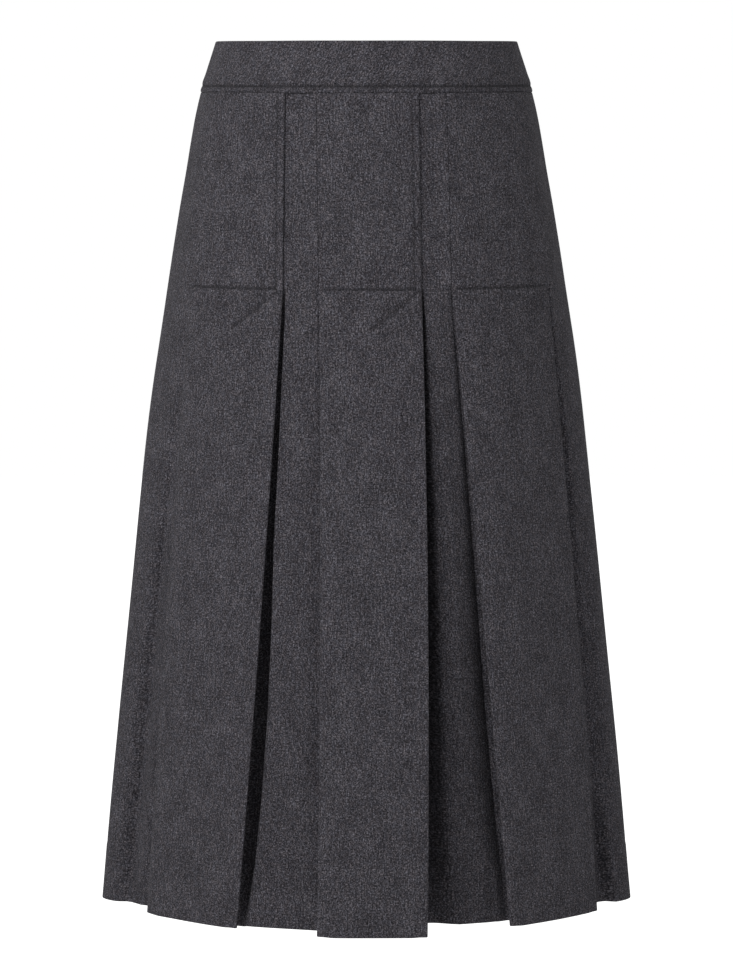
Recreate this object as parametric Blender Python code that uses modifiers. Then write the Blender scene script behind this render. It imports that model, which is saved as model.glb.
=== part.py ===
"""A pleated midi skirt, held open as on a figure: waistband, box-pleated front and back, side zip.

The waist opening's centre is the origin, +Z is up and the front faces -Y. Left and right are the
wearer's, so the wearer's left side lies at +X. Lengths are in metres. Every cloth piece is an open
sheet of outer-face points, thickened inwards by Solidify.
"""

import math
from collections import namedtuple

import bmesh
import bpy
from mathutils import Matrix, Vector

# Driving dimensions
LENGTH = 0.750
WAISTBAND_DEPTH = 0.0445
HIP_LINE = 0.209
CLOTH = 0.0010
SEAM_GAP = 0.00035
INNER_SEAM_GAP = 0.0014
WAISTBAND_WALL = 0.0034
WAISTBAND_PROUD_SIDE = 0.0008
WAISTBAND_PROUD_FRONT = 0.0030
ZIP_LENGTH = 0.215
ZIP_TAPE_WIDTH = 0.024

# A pleat stacks three layers: the panel, its return under it, and the underlay below both.
LAYER = CLOTH + SEAM_GAP
PANEL_PROUD = 2 * LAYER
FOLD_DROP = LAYER + CLOTH

# The rings of a general figure. Half width is taken at the sides, depths from the side line.
Ring = namedtuple("Ring", "below_waist half_width front_depth back_depth")
RINGS = (
    Ring(0.000, 0.1297, 0.0930, 0.0890),
    Ring(0.016, 0.1345, 0.0965, 0.0935),
    Ring(0.045, 0.1437, 0.1030, 0.1020),
    Ring(0.064, 0.1482, 0.1070, 0.1070),
    Ring(0.086, 0.1522, 0.1110, 0.1125),
    Ring(0.112, 0.1565, 0.1150, 0.1180),
    Ring(0.139, 0.1613, 0.1185, 0.1230),
    Ring(0.174, 0.1671, 0.1220, 0.1275),
    Ring(0.209, 0.1725, 0.1250, 0.1310),
    Ring(0.300, 0.1857, 0.1350, 0.1380),
    Ring(0.403, 0.1974, 0.1440, 0.1450),
    Ring(0.515, 0.2091, 0.1520, 0.1520),
    Ring(0.630, 0.2211, 0.1600, 0.1590),
    Ring(0.750, 0.2329, 0.1690, 0.1660),
)

# The folds. x places a panel's fold at the waist seam, the hip line and the hem, and bow_x is its
# drift halfway down. Depths are measured at the hem, forwards on the front and backwards on the
# back. inner_x and inner_depth place the hidden inner fold, where return and underlay are sewn.
Fold = namedtuple("Fold", "waist_x hip_x bow_x hem_x hem_depth inner_x inner_depth")
Panel = namedtuple("Panel", "name front hem_bulge first second")
PANELS = (
    Panel(
        "front_panel_right", True, 0.0030,
        Fold(-0.1275, -0.1518, -0.0011, -0.1903, 0.0778, -0.1650, 0.0580),
        Fold(-0.0696, -0.0711, 0.0014, -0.1110, 0.1476, -0.1320, 0.1267),
    ),
    Panel(
        "front_panel_centre", True, 0.0015,
        Fold(-0.0428, -0.0406, 0.0019, -0.0418, 0.1870, -0.0100, 0.1672),
        Fold(0.0446, 0.0470, 0.0029, 0.0515, 0.1870, 0.0300, 0.1478),
    ),
    Panel(
        "front_panel_left", True, 0.0030,
        Fold(0.0680, 0.0724, 0.0010, 0.1232, 0.1409, 0.1460, 0.1030),
        Fold(0.1290, 0.1559, 0.0026, 0.2005, 0.0663, 0.1600, 0.0640),
    ),
    Panel(
        "back_panel_left", False, 0.0030,
        Fold(0.1275, 0.1540, -0.0024, 0.1940, 0.0780, 0.1630, 0.0560),
        Fold(0.0690, 0.0715, -0.0012, 0.1160, 0.1460, 0.1380, 0.1180),
    ),
    Panel(
        "back_panel_centre", False, 0.0020,
        Fold(0.0440, 0.0440, -0.0010, 0.0470, 0.1790, 0.0150, 0.1560),
        Fold(-0.0440, -0.0440, 0.0014, -0.0450, 0.1810, -0.0220, 0.1440),
    ),
    Panel(
        "back_panel_right", False, 0.0030,
        Fold(-0.0690, -0.0715, -0.0016, -0.1130, 0.1440, -0.1360, 0.1080),
        Fold(-0.1275, -0.1540, 0.0010, -0.1910, 0.0800, -0.1590, 0.0560),
    ),
)

# The strips at the bottom of the pleats, each with the panel it is sewn under on either hand
UNDERLAYS = (
    ("front_underlay_right", PANELS[0], PANELS[1]),
    ("front_underlay_left", PANELS[1], PANELS[2]),
    ("back_underlay_left", PANELS[3], PANELS[4]),
    ("back_underlay_right", PANELS[4], PANELS[5]),
)

# Where the sheets are divided
SKIRT_TOP = WAISTBAND_DEPTH + SEAM_GAP
SKIRT_LEVELS = (SKIRT_TOP,) + tuple(ring.below_waist for ring in RINGS[3:])
WAISTBAND_LEVELS = (0, 0.008, 0.016, 0.030, WAISTBAND_DEPTH)
WAISTBAND_FRONT_STEPS = 26
WAISTBAND_BACK_STEPS = 24
FACE_STEPS = 6
RETURN_STEPS = FACE_STEPS // 2
RETURN_REACH = 0.49
VALLEY_STEPS = 2
SIDE_STEPS = 14
SIDE_SEAM_STEP = 9
HEM_NOSE = 0.005
SEAM_ANGLE = math.radians(104.5)
SHARP_FOLD = math.radians(50)

# How far to either side a slope of the figure is felt for, as a turn and as a drop
FEEL_TURN = 0.01
FEEL_DROP = 0.002

# The zip: its tapes run straight down behind the seam, and step outwards below the waistband
ZIP_LEVELS = (0.022, 0.036, 0.048, 0.056, 0.075, 0.100, 0.130, 0.165, 0.190, ZIP_LENGTH)
ZIP_STEP_LEVEL = 0.050
ZIP_EASE = 0.0002
ZIP_TAPE_STEPS = 4

# The zip's hard parts
SLIDER_BELOW_WAIST = 0.013
SLIDER_BODY = (0.0022, 0.0064, 0.0090)
SLIDER_ROUNDING = 0.0006
SLIDER_FRAME_DROP = 0.008
SLIDER_FRAME_TURN = 0.02
SLIDER_PLATE = 0.0010
SLIDER_PLATE_HEIGHT = 0.0046
SLIDER_PLATE_REACH = 0.0030
PULL_PIVOT_HEIGHT = 0.0016
PIVOT_HOLE_RADIUS = 0.00095
PULL_THICKNESS = 0.0010
PULL_WIDTH = 0.0052
PULL_LENGTH = 0.0220
PULL_WINDOW = (0.0022, 0.0040)
PULL_CORNER = 0.0006
PULL_SHOULDER = 0.0050
PULL_WAIST = 0.0085
PULL_WAIST_SHARE = 0.72
PULL_FOOT_RISE = 0.0050
PULL_FOOT_STEPS = 12
WAISTBAND_SLIT = 0.0018
WAISTBAND_SEAM = 0.0009

FLANNEL = ("wool_flannel", (0.046, 0.044, 0.052, 1), 0.92, 0.0)
TAPE = ("zip_tape", (0.030, 0.029, 0.034, 1), 0.85, 0.0)
METAL = ("zip_metal", (0.060, 0.060, 0.064, 1), 0.35, 0.9)


def clear_scene():
    for leftover in list(bpy.data.objects):
        bpy.data.objects.remove(leftover, do_unlink=True)


def collection(name):
    made = bpy.data.collections.new(name)
    bpy.context.scene.collection.children.link(made)
    return made


def material(name, colour, roughness, metallic):
    made = bpy.data.materials.get(name)
    if made is None:
        made = bpy.data.materials.new(name)
        made.use_nodes = True
        surface = made.node_tree.nodes["Principled BSDF"]
        surface.inputs["Base Color"].default_value = colour
        surface.inputs["Roughness"].default_value = roughness
        surface.inputs["Metallic"].default_value = metallic
        made.diffuse_color = colour
    return made


def blend(start, end, share):
    return start + (end - start) * share


def steps(count):
    """Shares from 0 to 1, both included."""
    return [index / count for index in range(count + 1)]


# The figure


def ring_at(below_waist):
    """The figure's ring at a level, between two rows of the table."""
    for upper, lower in zip(RINGS, RINGS[1:]):
        if below_waist <= lower.below_waist:
            break
    share = (below_waist - upper.below_waist) / (lower.below_waist - upper.below_waist)
    return Ring(*(blend(a, b, share) for a, b in zip(upper, lower)))


def ring_point(below_waist, angle):
    """A point on the figure, its angle counted from the front towards the left side."""
    ring = ring_at(below_waist)
    depth = ring.front_depth if math.cos(angle) > 0 else ring.back_depth
    return Vector((ring.half_width * math.sin(angle), -depth * math.cos(angle), -below_waist))


def on_ring(below_waist, angle, out):
    """A point moved out square to the figure's surface."""
    before = ring_point(below_waist, angle - FEEL_TURN)
    after = ring_point(below_waist, angle + FEEL_TURN)
    upper = ring_point(below_waist - FEEL_DROP, angle)
    lower = ring_point(below_waist + FEEL_DROP, angle)
    outward = (lower - upper).cross(after - before).normalized()
    return ring_point(below_waist, angle) + outward * out


def fold_angle(panel, fold, below_waist):
    """The angle of a panel's fold at a level from the waist seam to the hip line."""
    share = (below_waist - WAISTBAND_DEPTH) / (HIP_LINE - WAISTBAND_DEPTH)
    across = blend(fold.waist_x, fold.hip_x, share)
    angle = math.asin(across / (ring_at(below_waist).half_width + PANEL_PROUD))
    return angle if panel.front else math.pi - angle


def hem_point(panel, across, depth):
    return Vector((across, -depth if panel.front else depth, -LENGTH))


# Rows of outer-face points. Each takes a level down to the hip line, or stands for the hem when
# the level is None; skirt_row joins the two with straight lines down the cloth.


def face_points(panel, level):
    first, second = panel.first, panel.second
    if level is None:
        start = hem_point(panel, first.hem_x, first.hem_depth)
        end = hem_point(panel, second.hem_x, second.hem_depth)
        outward = (end - start).cross(Vector((0, 0, 1))).normalized()
        return [
            blend(start, end, u) + outward * panel.hem_bulge * 4 * u * (1 - u)
            for u in steps(FACE_STEPS)
        ]
    start = fold_angle(panel, first, level)
    end = fold_angle(panel, second, level)
    return [
        on_ring(level, blend(start, end, u), PANEL_PROUD)
        for u in steps(FACE_STEPS)
    ]


def inner_angle(panel, fold, other, level):
    start = fold_angle(panel, fold, level)
    end = fold_angle(panel, other, level)
    return blend(start, end, RETURN_REACH)


def return_points(panel, fold, other, level):
    """From just under the fold to the hidden inner fold."""
    drop = PANEL_PROUD - FOLD_DROP
    if level is None:
        edge = hem_point(panel, fold.hem_x, fold.hem_depth)
        beyond = hem_point(panel, other.hem_x, other.hem_depth)
        inward = (beyond - edge).cross(Vector((0, 0, 1))).normalized()
        if inward.dot(edge) > 0:
            inward.negate()
        start = edge + inward * FOLD_DROP
        end = hem_point(panel, fold.inner_x, fold.inner_depth)
        return [blend(start, end, u) for u in steps(RETURN_STEPS)]
    start = fold_angle(panel, fold, level)
    end = inner_angle(panel, fold, other, level)
    return [on_ring(level, blend(start, end, u), drop) for u in steps(RETURN_STEPS)]


def panel_points(panel, level):
    """Across a panel: the first return, the face between its two folds, the second return."""
    first = return_points(panel, panel.first, panel.second, level)
    second = return_points(panel, panel.second, panel.first, level)
    return first[::-1] + face_points(panel, level) + second


def panel_bows(panel):
    first = [panel.first.bow_x] * (RETURN_STEPS + 1)
    face = [blend(panel.first.bow_x, panel.second.bow_x, u) for u in steps(FACE_STEPS)]
    second = [panel.second.bow_x] * (RETURN_STEPS + 1)
    return first + face + second


def sewn_edge(panel, fold):
    """The underlay's edge at the hem, just inside the inner fold."""
    edge = hem_point(panel, fold.inner_x, fold.inner_depth)
    inward = Vector((-edge.x, -edge.y, 0)).normalized()
    return edge + inward * INNER_SEAM_GAP


def underlay_points(panel, after, level):
    """Across an underlay, from the inner fold of one panel to that of the next."""
    count = 2 * RETURN_STEPS + VALLEY_STEPS
    if level is None:
        start = sewn_edge(panel, panel.second)
        end = sewn_edge(after, after.first)
        return [blend(start, end, u) for u in steps(count)]
    start = inner_angle(panel, panel.second, panel.first, level)
    leave = fold_angle(panel, panel.second, level)
    reach = fold_angle(after, after.first, level)
    end = inner_angle(after, after.first, after.second, level)
    angles = [blend(start, leave, u) for u in steps(RETURN_STEPS)]
    angles += [blend(leave, reach, u) for u in steps(VALLEY_STEPS)[1:-1]]
    angles += [blend(reach, end, u) for u in steps(RETURN_STEPS)]
    return [on_ring(level, angle, 0) for angle in angles]


def underlay_bows(panel, after):
    count = 2 * RETURN_STEPS + VALLEY_STEPS
    return [blend(panel.second.bow_x, after.first.bow_x, u) for u in steps(count)]


def whole_side_points(panel, after, level):
    """Round one side, from the front's last inner fold to the back's first, or the reverse."""
    if level is None:
        start = sewn_edge(panel, panel.second)
        end = sewn_edge(after, after.first)
        way = 1 if start.x > 0 else -1
        nose_x = (8 * way * RINGS[-1].half_width - start.x - end.x) / 6
        lean = -way * HEM_NOSE
        before_nose = Vector((nose_x, lean, -LENGTH))
        after_nose = Vector((nose_x, -lean, -LENGTH))
        return [
            start * (1 - u) ** 3
            + before_nose * 3 * (1 - u) ** 2 * u
            + after_nose * 3 * (1 - u) * u**2
            + end * u**3
            for u in steps(SIDE_STEPS)
        ]
    start = inner_angle(panel, panel.second, panel.first, level)
    leave = fold_angle(panel, panel.second, level)
    reach = fold_angle(after, after.first, level)
    end = inner_angle(after, after.first, after.second, level)
    if end < start:
        end += math.tau
        reach += math.tau
    between = SIDE_STEPS - 2 * RETURN_STEPS
    angles = [blend(start, leave, u) for u in steps(RETURN_STEPS)]
    angles += [blend(leave, reach, u) for u in steps(between)[1:-1]]
    angles += [blend(reach, end, u) for u in steps(RETURN_STEPS)]
    return [on_ring(level, angle, 0) for angle in angles]


def side_swells(level):
    """How far each point of a side stands out of the straight line from hip to hem."""
    share = (level - HIP_LINE) / (LENGTH - HIP_LINE)
    straight = blend(ring_at(HIP_LINE).half_width, RINGS[-1].half_width, share)
    swell = ring_at(level).half_width - straight
    return [swell * math.sin(math.pi * u) ** 2 for u in steps(SIDE_STEPS)]


def skirt_row(points_at, bows, level):
    """One row of a piece: on the figure down to the hip line, then on straight lines to the hem."""
    if level <= HIP_LINE:
        return points_at(level)
    share = (level - HIP_LINE) / (LENGTH - HIP_LINE)
    drift = 4 * share * (1 - share)
    return [
        blend(hip, hem, share) + Vector((bow * drift, 0, 0))
        for hip, hem, bow in zip(points_at(HIP_LINE), points_at(None), bows)
    ]


# Building sheets and hard parts


def place(name, mesh, into, finish):
    made = bpy.data.objects.new(name, mesh)
    into.objects.link(made)
    mesh.materials.append(material(*finish))
    return made


def sheet(name, rows, into, finish, wall):
    """A cloth piece from rows of outer-face points, top row first, thickened inwards."""
    bm = bmesh.new()
    grid = [[bm.verts.new(point) for point in row] for row in rows]
    for upper, lower in zip(grid, grid[1:]):
        for a, b, c, d in zip(upper, lower, lower[1:], upper[1:]):
            bm.faces.new((a, b, c, d))
    mesh = bpy.data.meshes.new(name)
    bm.to_mesh(mesh)
    bm.free()
    made = place(name, mesh, into, finish)
    thicken = made.modifiers.new("wall", "SOLIDIFY")
    thicken.thickness = wall
    thicken.offset = -1
    thicken.use_even_offset = True
    mesh.shade_smooth()
    mesh.set_sharp_from_angle(angle=SHARP_FOLD)
    return made


def box(name, size, centre, frame, into, finish):
    bm = bmesh.new()
    bmesh.ops.create_cube(bm, size=1, matrix=Matrix.Diagonal((*size, 1)))
    mesh = bpy.data.meshes.new(name)
    bm.to_mesh(mesh)
    bm.free()
    made = place(name, mesh, into, finish)
    made.matrix_world = frame @ Matrix.Translation(centre)
    return made


def boolean(target, other, operation):
    change = target.modifiers.new(other.name, "BOOLEAN")
    change.operation = operation
    change.object = other
    change.solver = "EXACT"
    other.hide_render = True
    other.display_type = "WIRE"


def make_panels(into):
    for panel in PANELS:
        bows = panel_bows(panel)
        rows = [
            skirt_row(lambda at, panel=panel: panel_points(panel, at), bows, level)
            for level in SKIRT_LEVELS
        ]
        sheet(panel.name, rows, into, FLANNEL, CLOTH)


def make_underlays(into):
    for name, panel, after in UNDERLAYS:
        bows = underlay_bows(panel, after)
        rows = [
            skirt_row(lambda at, a=panel, b=after: underlay_points(a, b, at), bows, level)
            for level in SKIRT_LEVELS
        ]
        sheet(name, rows, into, FLANNEL, CLOTH)


def make_sides(into):
    """Each side is two pieces that meet at the side seam, a little behind the side line."""
    sides = (("left", PANELS[2], PANELS[3]), ("right", PANELS[5], PANELS[0]))
    for side, panel, after in sides:
        way = 1 if side == "left" else -1
        rows = []
        for level in SKIRT_LEVELS:
            start_bow, end_bow = panel.second.bow_x, after.first.bow_x
            bows = [blend(start_bow, end_bow, u) for u in steps(SIDE_STEPS)]
            row = skirt_row(
                lambda at, a=panel, b=after: whole_side_points(a, b, at), bows, level
            )
            if level > HIP_LINE:
                for point, swell in zip(row, side_swells(level)):
                    point.x += way * swell
            rows.append(row)
        seam = SIDE_SEAM_STEP if side == "left" else SIDE_STEPS - SIDE_SEAM_STEP
        first, second = ("front", "back") if side == "left" else ("back", "front")
        ends = [row[: seam + 1] for row in rows]
        starts = [row[seam:] for row in rows]
        for end, start in zip(ends, starts):
            along = (end[-1] - end[-2]).normalized() * SEAM_GAP / 2
            onward = (start[1] - start[0]).normalized() * SEAM_GAP / 2
            end[-1] = end[-1] - along
            start[0] = start[0] + onward
        sheet(f"side_{first}_{side}", ends, into, FLANNEL, CLOTH)
        sheet(f"side_{second}_{side}", starts, into, FLANNEL, CLOTH)


def waistband_point(below_waist, angle, inward):
    proud = blend(WAISTBAND_PROUD_FRONT, WAISTBAND_PROUD_SIDE, math.sin(angle) ** 2)
    return on_ring(below_waist, angle, proud - inward)


def make_waistband(into):
    slit = WAISTBAND_SLIT / 2 / RINGS[1].back_depth
    seam = WAISTBAND_SEAM / 2 / RINGS[1].back_depth
    front = (seam - SEAM_ANGLE, SEAM_ANGLE - slit)
    back = (SEAM_ANGLE + slit, math.tau - SEAM_ANGLE - seam)
    for name, (start, end), count in (
        ("waistband_front", front, WAISTBAND_FRONT_STEPS),
        ("waistband_back", back, WAISTBAND_BACK_STEPS),
    ):
        rows = [
            [waistband_point(level, blend(start, end, u), 0) for u in steps(count)]
            for level in WAISTBAND_LEVELS
        ]
        sheet(name, rows, into, FLANNEL, WAISTBAND_WALL)


def seam_frame(below_waist, out):
    """The zip's frame on the waistband: X out of the cloth, Z up along its slope."""
    upper = waistband_point(below_waist - SLIDER_FRAME_DROP, SEAM_ANGLE, -out)
    lower = waistband_point(below_waist + SLIDER_FRAME_DROP, SEAM_ANGLE, -out)
    before = waistband_point(below_waist, SEAM_ANGLE - SLIDER_FRAME_TURN, -out)
    after = waistband_point(below_waist, SEAM_ANGLE + SLIDER_FRAME_TURN, -out)
    up = (upper - lower).normalized()
    round_body = (after - before).normalized()
    outward = round_body.cross(up).normalized()
    frame = Matrix((outward, round_body, outward.cross(round_body))).transposed().to_4x4()
    frame.translation = waistband_point(below_waist, SEAM_ANGLE, -out)
    return frame


def make_zip_tape(into):
    """The closed zip behind the seam, set in from the thicker waistband above the skirt."""
    under_band = WAISTBAND_WALL - WAISTBAND_PROUD_SIDE + SEAM_GAP
    half = ZIP_TAPE_WIDTH / 2
    rows = []
    for level in ZIP_LEVELS:
        inset = under_band if level < ZIP_STEP_LEVEL else LAYER + ZIP_EASE
        reach = half / ring_at(level).back_depth
        start, end = SEAM_ANGLE - reach, SEAM_ANGLE + reach
        shares = steps(ZIP_TAPE_STEPS)
        rows.append([on_ring(level, blend(start, end, u), -inset) for u in shares])
    sheet("zip_tape", rows, into, TAPE, CLOTH)


def make_slider(into, cutters):
    """The slider stays behind the waistband; a plate of it reaches out through the slit."""
    surface = seam_frame(SLIDER_BELOW_WAIST, 0)
    thick, wide, high = SLIDER_BODY
    depth = WAISTBAND_WALL + SEAM_GAP
    body_centre = Vector((-depth - thick / 2, 0, 0))
    body = box("zip_slider", SLIDER_BODY, body_centre, surface, into, METAL)
    round_off = body.modifiers.new("rounding", "BEVEL")
    round_off.width = SLIDER_ROUNDING
    round_off.segments = 2
    length = SLIDER_PLATE_REACH + depth + thick / 2
    plate_size = (length, SLIDER_PLATE, SLIDER_PLATE_HEIGHT)
    plate_centre = Vector((SLIDER_PLATE_REACH - length / 2, 0, 0))
    plate = box("slider_plate", plate_size, plate_centre, surface, cutters, METAL)
    boolean(body, plate, "UNION")
    bm = bmesh.new()
    bmesh.ops.create_cone(
        bm,
        cap_ends=True,
        segments=16,
        radius1=PIVOT_HOLE_RADIUS,
        radius2=PIVOT_HOLE_RADIUS,
        depth=wide,
    )
    mesh = bpy.data.meshes.new("pivot_hole")
    bm.to_mesh(mesh)
    bm.free()
    hole = place("pivot_hole", mesh, cutters, METAL)
    turn = Matrix.Rotation(math.radians(90), 4, "X")
    hole.matrix_world = surface @ Matrix.Translation((PULL_PIVOT_HEIGHT, 0, 0)) @ turn
    boolean(body, hole, "DIFFERENCE")


def pull_outline():
    """The pull seen flat: a rounded top bar, straight sides and a fuller round foot."""
    half = PULL_WIDTH / 2
    waist = half * PULL_WAIST_SHARE
    top = PULL_THICKNESS / 2
    foot_centre = top - PULL_LENGTH + half
    side = [(-half + PULL_CORNER, top), (-half, top - PULL_CORNER), (-half, -PULL_SHOULDER)]
    side += [(-waist, -PULL_WAIST), (-waist, foot_centre + PULL_FOOT_RISE)]
    foot = []
    for share in steps(PULL_FOOT_STEPS):
        angle = math.pi * (1 + share)
        foot.append((half * math.cos(angle), foot_centre + half * math.sin(angle)))
    return side + foot + [(-x, z) for x, z in side[::-1]]


def pull_window():
    """The hole under the top bar that the slider's plate stands in."""
    width, height = PULL_WINDOW
    top = -PULL_THICKNESS / 2
    corners = ((-width / 2, top), (width / 2, top))
    return corners + ((width / 2, top - height), (-width / 2, top - height))


def make_pull(into):
    """The pull tab, its object's origin on the bar it swings about."""
    outline = bpy.data.curves.new("zip_pull", "CURVE")
    outline.dimensions = "2D"
    outline.fill_mode = "BOTH"
    outline.extrude = PULL_THICKNESS / 2
    for points in (pull_outline(), pull_window()):
        spline = outline.splines.new("POLY")
        spline.points.add(len(points) - 1)
        for control, (x, z) in zip(spline.points, points):
            control.co = (x, z, 0, 1)
        spline.use_cyclic_u = True
    flat = bpy.data.objects.new("zip_pull_outline", outline)
    into.objects.link(flat)
    graph = bpy.context.evaluated_depsgraph_get()
    mesh = bpy.data.meshes.new_from_object(flat.evaluated_get(graph))
    bpy.data.objects.remove(flat, do_unlink=True)
    bm = bmesh.new()
    bm.from_mesh(mesh)
    bmesh.ops.remove_doubles(bm, verts=bm.verts, dist=1e-6)
    bm.to_mesh(mesh)
    bm.free()
    mesh.materials.clear()
    pull = place("zip_pull", mesh, into, METAL)
    stand_up = Matrix(((0, 0, 1, 0), (1, 0, 0, 0), (0, 1, 0, 0), (0, 0, 0, 1)))
    surface = seam_frame(SLIDER_BELOW_WAIST, 0)
    pull.matrix_world = surface @ Matrix.Translation((PULL_PIVOT_HEIGHT, 0, 0)) @ stand_up


def main():
    clear_scene()
    skirt = collection("pleated_midi_skirt")
    cutters = collection("cutters")
    make_waistband(skirt)
    make_panels(skirt)
    make_underlays(skirt)
    make_sides(skirt)
    make_zip_tape(skirt)
    make_slider(skirt, cutters)
    make_pull(skirt)
    cutters.hide_render = True


main()
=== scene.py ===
import math
from collections import namedtuple

import bpy
import numpy as np
from mathutils import Matrix, Vector


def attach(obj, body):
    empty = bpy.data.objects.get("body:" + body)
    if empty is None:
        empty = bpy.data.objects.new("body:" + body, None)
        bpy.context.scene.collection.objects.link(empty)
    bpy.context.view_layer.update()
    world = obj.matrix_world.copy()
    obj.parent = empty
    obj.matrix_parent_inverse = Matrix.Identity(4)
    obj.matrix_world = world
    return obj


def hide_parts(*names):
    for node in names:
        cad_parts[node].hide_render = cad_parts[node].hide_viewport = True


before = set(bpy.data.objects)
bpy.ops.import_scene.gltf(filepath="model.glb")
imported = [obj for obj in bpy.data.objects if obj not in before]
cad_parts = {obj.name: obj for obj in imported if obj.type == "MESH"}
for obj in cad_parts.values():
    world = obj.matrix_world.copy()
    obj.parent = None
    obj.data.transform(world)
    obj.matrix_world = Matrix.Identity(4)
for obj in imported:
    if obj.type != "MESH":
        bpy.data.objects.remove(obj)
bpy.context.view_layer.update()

# A box-pleated flannel skirt that hangs open as on a figure. Lengths are in metres, +Z is up, the
# front faces -Y, and left and right are the wearer's. A "level" is always the drop below the waist,
# and an angle runs round the body from the middle of the front towards the left side.

LENGTH = 0.750
WAISTBAND_DEPTH = 0.0445
HIP_LINE = 0.209
CLOTH = 0.0010
SEAM_GAP = 0.00035
INNER_SEAM_GAP = 0.0014
HEM_NOSE = 0.005
LAYER = CLOTH + SEAM_GAP
PANEL_PROUD = 2 * LAYER
FOLD_DROP = LAYER + CLOTH
FOLD_RADIUS = FOLD_DROP / 2
WAISTBAND_WALL = 0.0034
WAISTBAND_PROUD_SIDE = 0.0008
WAISTBAND_PROUD_FRONT = 0.0030
WAISTBAND_SLIT = 0.0018
WAISTBAND_SEAM = 0.0009
RETURN_REACH = 0.49
SEAM_ANGLE = math.radians(104.5)
SIDE_SEAM_SHARE = 9 / 14
SKIRT_TOP = WAISTBAND_DEPTH + SEAM_GAP

# Sewing
EDGE_STITCH = 0.0062
BAND_STITCH = 0.0056
HEM_DEPTH = 0.048
TACK_ACROSS = 0.044
TACK_DOWN = 0.0345
GROOVE = 0.0012
STITCH_PITCH = 0.0031
STITCH_LENGTH = 0.0025
THREAD = 0.00019

# The rings of a general figure. Half width is taken at the sides, depths from the side line.
Ring = namedtuple("Ring", "level half_width front_depth back_depth")
RINGS = (
    Ring(0.000, 0.1297, 0.0930, 0.0890),
    Ring(0.016, 0.1345, 0.0965, 0.0935),
    Ring(0.045, 0.1437, 0.1030, 0.1020),
    Ring(0.064, 0.1482, 0.1070, 0.1070),
    Ring(0.086, 0.1522, 0.1110, 0.1125),
    Ring(0.112, 0.1565, 0.1150, 0.1180),
    Ring(0.139, 0.1613, 0.1185, 0.1230),
    Ring(0.174, 0.1671, 0.1220, 0.1275),
    Ring(0.209, 0.1725, 0.1250, 0.1310),
    Ring(0.300, 0.1857, 0.1350, 0.1380),
    Ring(0.403, 0.1974, 0.1440, 0.1450),
    Ring(0.515, 0.2091, 0.1520, 0.1520),
    Ring(0.630, 0.2211, 0.1600, 0.1590),
    Ring(0.750, 0.2329, 0.1690, 0.1660),
)

# A fold's x at the waist seam, the hip line and the hem, its drift halfway down, and its depth at
# the hem. inner_x and inner_depth place the hidden inner fold, where the floor of the pleat is
# sewn on. A stitched fold has a row of edge stitching above the hip line.
Fold = namedtuple("Fold", "waist_x hip_x bow_x hem_x hem_depth inner_x inner_depth stitched")
Panel = namedtuple("Panel", "node front hem_bulge first second")
PANELS = (
    Panel(
        "front_panel_right", True, 0.0030,
        Fold(-0.1275, -0.1518, -0.0011, -0.1903, 0.0778, -0.1650, 0.0580, False),
        Fold(-0.0696, -0.0711, 0.0014, -0.1110, 0.1476, -0.1320, 0.1267, True),
    ),
    Panel(
        "front_panel_centre", True, 0.0015,
        Fold(-0.0428, -0.0406, 0.0019, -0.0418, 0.1870, -0.0100, 0.1672, False),
        Fold(0.0446, 0.0470, 0.0029, 0.0515, 0.1870, 0.0300, 0.1478, True),
    ),
    Panel(
        "front_panel_left", True, 0.0030,
        Fold(0.0680, 0.0724, 0.0010, 0.1232, 0.1409, 0.1460, 0.1030, False),
        Fold(0.1290, 0.1559, 0.0026, 0.2005, 0.0663, 0.1600, 0.0640, False),
    ),
    Panel(
        "back_panel_left", False, 0.0030,
        Fold(0.1275, 0.1540, -0.0024, 0.1940, 0.0780, 0.1630, 0.0560, False),
        Fold(0.0690, 0.0715, -0.0012, 0.1160, 0.1460, 0.1380, 0.1180, True),
    ),
    Panel(
        "back_panel_centre", False, 0.0020,
        Fold(0.0440, 0.0440, -0.0010, 0.0470, 0.1790, 0.0150, 0.1560, False),
        Fold(-0.0440, -0.0440, 0.0014, -0.0450, 0.1810, -0.0220, 0.1440, True),
    ),
    Panel(
        "back_panel_right", False, 0.0030,
        Fold(-0.0690, -0.0715, -0.0016, -0.1130, 0.1440, -0.1360, 0.1080, False),
        Fold(-0.1275, -0.1540, 0.0010, -0.1910, 0.0800, -0.1590, 0.0560, False),
    ),
)

# How a pleat's floor falls away beside a fold, level by level. Beside a second fold it drops into
# a hollow, at its full depth up to the inner distance and risen out of it at the outer one.
# Beside a first fold it slants down to meet the fold.
Hollow = namedtuple("Hollow", "level inner outer depth")
SHARP_HOLLOW = (
    Hollow(0.206, 0.0008, 0.0026, 0.000),
    Hollow(0.232, 0.0010, 0.0030, 0.007),
    Hollow(0.310, 0.0012, 0.0036, 0.012),
    Hollow(0.430, 0.0018, 0.0048, 0.019),
    Hollow(0.500, 0.0024, 0.0076, 0.022),
    Hollow(0.570, 0.0028, 0.0094, 0.024),
    Hollow(0.640, 0.0026, 0.0092, 0.023),
    Hollow(0.700, 0.0024, 0.0074, 0.017),
    Hollow(0.742, 0.0010, 0.0040, 0.003),
    Hollow(0.750, 0.0008, 0.0035, 0.000),
)
SOFT_HOLLOW = (
    Hollow(0.206, 0.0008, 0.0026, 0.000),
    Hollow(0.232, 0.0010, 0.0034, 0.007),
    Hollow(0.310, 0.0012, 0.0052, 0.012),
    Hollow(0.400, 0.0016, 0.0082, 0.017),
    Hollow(0.500, 0.0020, 0.0110, 0.022),
    Hollow(0.600, 0.0024, 0.0145, 0.025),
    Hollow(0.700, 0.0034, 0.0200, 0.024),
    Hollow(0.750, 0.0060, 0.0280, 0.018),
)
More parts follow.
